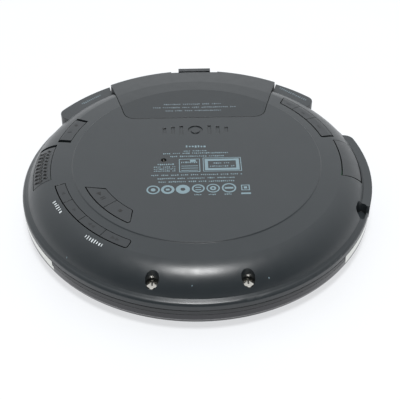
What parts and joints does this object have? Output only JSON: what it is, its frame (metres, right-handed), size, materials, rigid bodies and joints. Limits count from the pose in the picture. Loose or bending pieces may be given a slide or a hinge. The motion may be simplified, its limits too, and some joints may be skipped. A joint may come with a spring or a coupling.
{
  "type": "portable cd player",
  "caption": "Round portable CD player lying on its lid, showing its satin grey underside with a battery door, curved key rows, sliders and rear sockets.",
  "frame": {"origin": "centre of the lid's flat outer face, which the player rests on", "axes": "+Z out of the underside, +Y towards the hinge and the sockets, +X to the side with the volume rocker"},
  "size_m": [0.1357, 0.1362, 0.0232],
  "materials": {
    "case_plastic": "fine satin moulding, charcoal grey",
    "door_plastic": "fine satin moulding, charcoal grey",
    "key_plastic": "satin",
    "slider_plastic": "satin",
    "rim_gloss": "glossy metallic silver",
    "lid_plastic": "satin silver grey",
    "lip_plastic": "satin",
    "window_clear": "clear moulded window",
    "pad_foam": "soft black",
    "deck_plastic": "black moulding",
    "pin_steel": "ground",
    "spring_steel": "nickel plated",
    "socket_plastic": "black moulding",
    "board_green": "green solder mask",
    "chip_black": "black package",
    "mat_rubber": "grey silicone rubber",
    "screw_steel": "plated",
    "plate_steel": "pressed sheet",
    "motor_steel": "plated can",
    "hub_plastic": "black moulding",
    "ball_chrome": "polished",
    "holder_black": "black",
    "lens_glass": "coated",
    "gear_white": "white moulding",
    "switch_black": "black moulding"
  },
  "bodies": {
    "lid": {"lid_plate": "lid_plastic", "lid_frame": "lid_plastic", "lid_rim": "rim_gloss", "lid_window": "window_clear", "front_lip": "lip_plastic", "latch_hook": "lid_plastic", "lid_pads": "pad_foam"},
    "housing": {"bottom_case": "case_plastic", "deck": "deck_plastic", "hinge_pins": "pin_steel", "battery_tray": "deck_plastic", "battery_springs": "spring_steel", "battery_contacts": "spring_steel", "headphone_jack": "socket_plastic", "line_out_jack": "socket_plastic", "dc_socket": "socket_plastic", "main_board": "board_green", "board_chips": "chip_black", "key_mat_left": "mat_rubber", "key_mat_right": "mat_rubber", "board_screws": "screw_steel", "case_screws": "screw_steel", "middle_screw": "screw_steel", "drive_plate": "plate_steel", "rubber_dampers": "mat_rubber", "drive_screws": "screw_steel", "spindle_motor": "motor_steel", "guide_rod": "pin_steel", "rod_holders": "hub_plastic", "feed_axle": "pin_steel", "feed_motor": "motor_steel", "lid_switch": "switch_black"},
    "spindle": {"spindle_shaft": "pin_steel", "turntable": "hub_plastic", "hub_balls": "ball_chrome"},
    "sled": {"sled": "hub_plastic", "lens_holder": "holder_black", "lens": "lens_glass"},
    "feed_gear": {"feed_gear": "gear_white"},
    "motor_pinion": {"motor_pinion": "gear_white"},
    "hold_switch": {"hold_switch": "slider_plastic"},
    "open_slider": {"open_slider": "slider_plastic"},
    "volume_rocker": {"volume_rocker": "slider_plastic"},
    "battery_door": {"battery_door": "door_plastic"},
    "battery_latch": {"battery_latch": "slider_plastic"},
    "switch_plunger": {"switch_plunger": "switch_black"},
    "album_down_key": {"album_down_key": "key_plastic"},
    "album_up_key": {"album_up_key": "key_plastic"},
    "search_back_key": {"search_back_key": "key_plastic"},
    "search_forward_key": {"search_forward_key": "key_plastic"},
    "mode_key": {"mode_key": "key_plastic"},
    "program_key": {"program_key": "key_plastic"},
    "bass_key": {"bass_key": "key_plastic"},
    "play_key": {"play_key": "key_plastic"},
    "stop_key": {"stop_key": "key_plastic"}
  },
  "joints": [
    {"name": "housing_hinge", "type": "hinge", "parent": "lid", "child": "housing", "pos_m": [0, 0.065, 0.0084], "axis": [-1, 0, 0], "range_deg": [0, 75]},
    {"name": "battery_door_hinge", "type": "hinge", "parent": "housing", "child": "battery_door", "pos_m": [0, 0.0276, 0.023], "axis": [1, 0, 0], "range_deg": [0, 60]},
    {"name": "battery_latch_slide", "type": "slide", "parent": "battery_door", "child": "battery_latch", "axis": [0, -1, 0], "range_m": [0, 0.0008], "stiffness_N_per_m": 1500, "springref_m": -0.0004},
    {"name": "spindle_spin", "type": "hinge", "parent": "housing", "child": "spindle", "pos_m": [0, 0, 0.005], "axis": [0, 0, 1], "continuous": true},
    {"name": "sled_slide", "type": "slide", "parent": "housing", "child": "sled", "axis": [0, -1, 0], "range_m": [0, 0.0315]},
    {"name": "feed_gear_spin", "type": "hinge", "parent": "housing", "child": "feed_gear", "pos_m": [0.021, -0.02, 0.0145], "axis": [0, 0, 1], "range_deg": [0, 301]},
    {"name": "motor_pinion_spin", "type": "hinge", "parent": "housing", "child": "motor_pinion", "pos_m": [0.03142, -0.02874, 0.0152], "axis": [0, 0, 1], "range_deg": [-723, 0]},
    {"name": "hold_slide", "type": "hinge", "parent": "housing", "child": "hold_switch", "pos_m": [0, 0, 0.02], "axis": [0, 0, 1], "range_deg": [0, 1.5]},
    {"name": "open_slide", "type": "hinge", "parent": "housing", "child": "open_slider", "pos_m": [0, 0, 0.018], "axis": [0, 0, -1], "range_deg": [0, 1.2], "stiffness_Nm_per_rad": 4, "springref_deg": -1.15},
    {"name": "volume_rock", "type": "hinge", "parent": "housing", "child": "volume_rocker", "pos_m": [0.05999, 0.00105, 0.0175], "axis": [0.9998, 0.0175, 0], "range_deg": [-2, 2], "stiffness_Nm_per_rad": 1.2},
    {"name": "album_down_press", "type": "slide", "parent": "housing", "child": "album_down_key", "axis": [0, 0, -1], "range_m": [0, 0.00055], "stiffness_N_per_m": 700, "springref_m": -0.0003},
    {"name": "album_up_press", "type": "slide", "parent": "housing", "child": "album_up_key", "axis": [0, 0, -1], "range_m": [0, 0.00055], "stiffness_N_per_m": 700, "springref_m": -0.0003},
    {"name": "search_back_press", "type": "slide", "parent": "housing", "child": "search_back_key", "axis": [0, 0, -1], "range_m": [0, 0.00055], "stiffness_N_per_m": 700, "springref_m": -0.0003},
    {"name": "search_forward_press", "type": "slide", "parent": "housing", "child": "search_forward_key", "axis": [0, 0, -1], "range_m": [0, 0.00055], "stiffness_N_per_m": 700, "springref_m": -0.0003},
    {"name": "mode_press", "type": "slide", "parent": "housing", "child": "mode_key", "axis": [0, 0, -1], "range_m": [0, 0.00055], "stiffness_N_per_m": 700, "springref_m": -0.0003},
    {"name": "program_press", "type": "slide", "parent": "housing", "child": "program_key", "axis": [0, 0, -1], "range_m": [0, 0.00055], "stiffness_N_per_m": 700, "springref_m": -0.0003},
    {"name": "bass_press", "type": "slide", "parent": "housing", "child": "bass_key", "axis": [0, 0, -1], "range_m": [0, 0.00055], "stiffness_N_per_m": 700, "springref_m": -0.0003},
    {"name": "play_press", "type": "slide", "parent": "housing", "child": "play_key", "axis": [0, 0, -1], "range_m": [0, 0.00055], "stiffness_N_per_m": 700, "springref_m": -0.0003},
    {"name": "stop_press", "type": "slide", "parent": "housing", "child": "stop_key", "axis": [0, 0, -1], "range_m": [0, 0.00055], "stiffness_N_per_m": 700, "springref_m": -0.0003},
    {"name": "lid_switch_press", "type": "slide", "parent": "housing", "child": "switch_plunger", "axis": [0, 0, 1], "range_m": [0, 0.0008], "stiffness_N_per_m": 300, "springref_m": -0.0002}
  ],
  "couplings": [
    {"joint": "feed_gear_spin", "follows": "sled_slide", "rad_per_m": 166.67},
    {"joint": "motor_pinion_spin", "follows": "sled_slide", "rad_per_m": -400}
  ]
}
